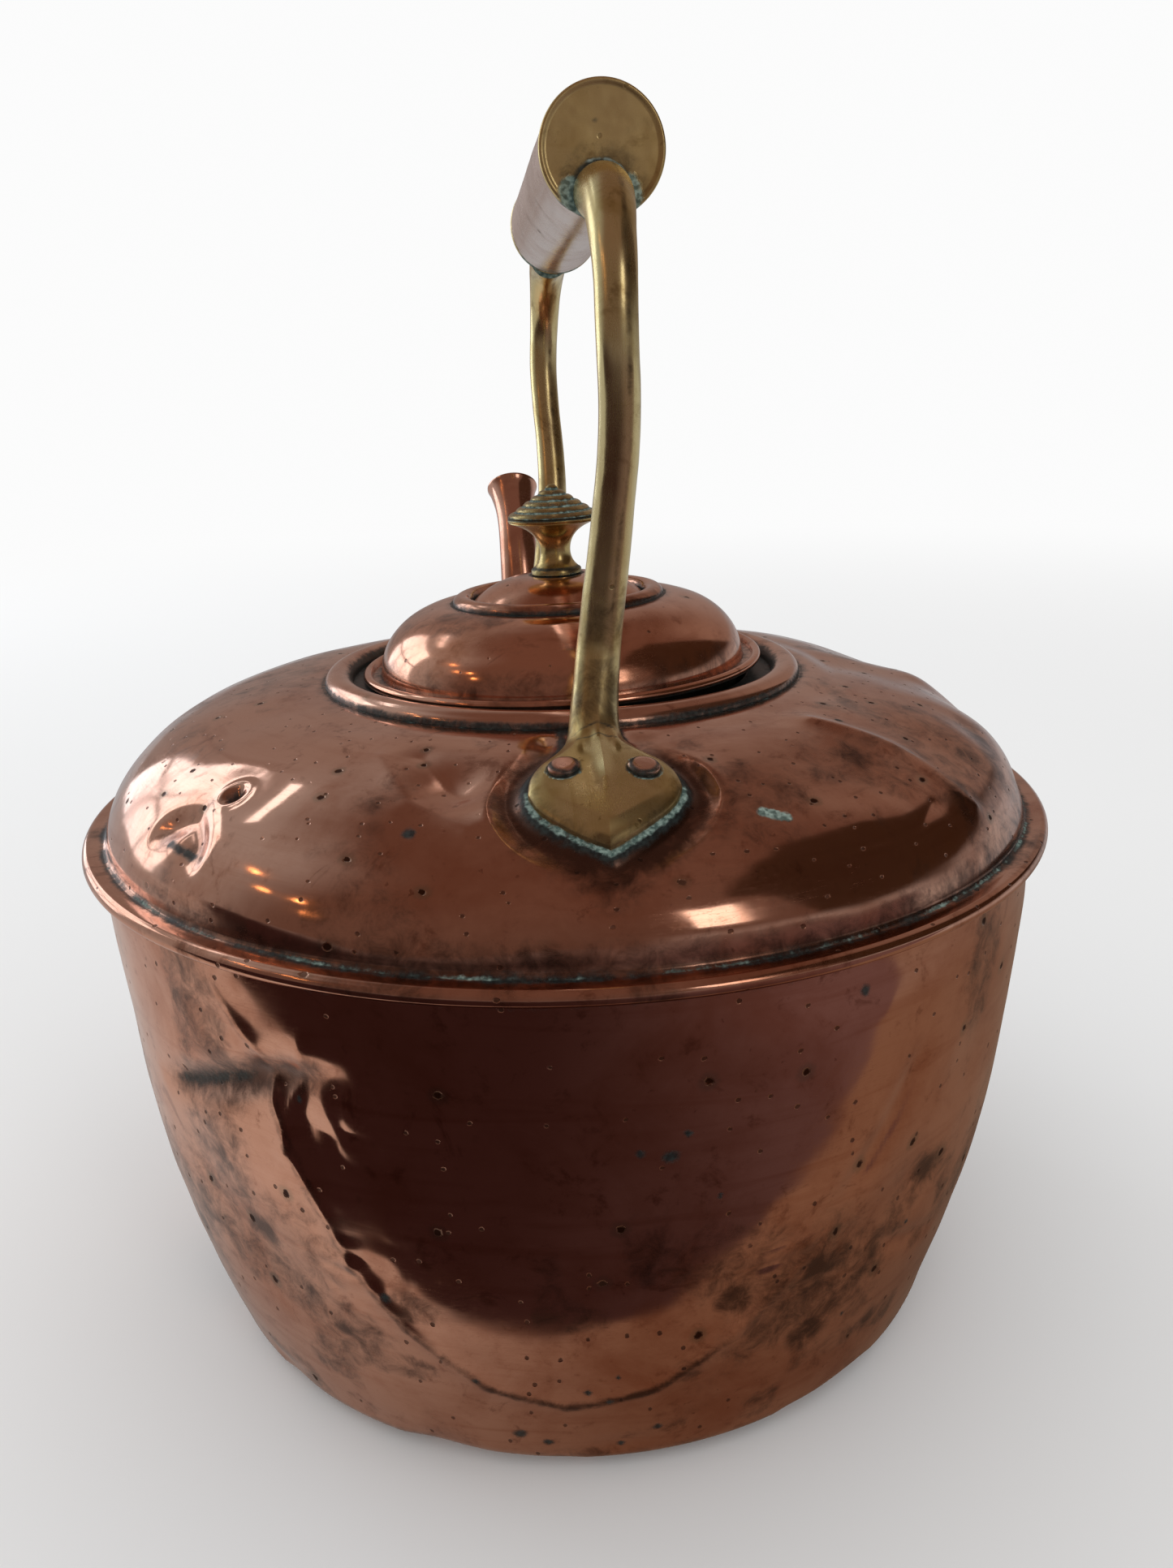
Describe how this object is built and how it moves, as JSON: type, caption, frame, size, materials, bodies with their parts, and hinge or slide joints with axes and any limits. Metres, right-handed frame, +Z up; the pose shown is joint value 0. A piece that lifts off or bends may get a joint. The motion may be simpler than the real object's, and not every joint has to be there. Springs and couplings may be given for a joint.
{
  "type": "kettle",
  "caption": "Round copper kettle with a lift-off domed lid, a gooseneck spout and a riveted brass handle over the top with a tubular copper grip.",
  "frame": {"origin": "centre of the base's underside, on the surface the kettle stands on", "axes": "+Z up, +Y towards the spout, +X to the right of a viewer who stands behind the kettle and looks towards the spout"},
  "size_m": [0.23, 0.288, 0.2702],
  "materials": {
    "vessel_copper": "hand-polished copper with brown staining",
    "collar_copper": "polished copper",
    "spout_copper": "polished copper",
    "lid_copper": "polished copper",
    "grip_copper": "hand-worn satin copper",
    "rivet_copper": "polished copper",
    "handle_brass": "aged polished brass",
    "cap_brass": "satin aged brass",
    "knob_brass": "aged turned brass"
  },
  "bodies": {
    "vessel": {"base_pan": "vessel_copper", "body_wall": "vessel_copper", "shoulder": "vessel_copper", "lid_collar": "collar_copper", "spout": "spout_copper", "rear_leg": "handle_brass", "front_leg": "handle_brass", "grip_tube": "grip_copper", "rear_grip_cap": "cap_brass", "front_grip_cap": "cap_brass", "rear_rivets": "rivet_copper", "front_rivets": "rivet_copper", "rear_roves": "rivet_copper", "front_roves": "rivet_copper"},
    "lid": {"lid_dome": "lid_copper", "lid_sleeve": "lid_copper", "knob": "knob_brass", "knob_washer": "rivet_copper"}
  },
  "joints": [
    {"name": "lid_lift", "type": "slide", "parent": "vessel", "child": "lid", "axis": [-0.0314, 0, 0.9995], "range_m": [0, 0.045]}
  ]
}
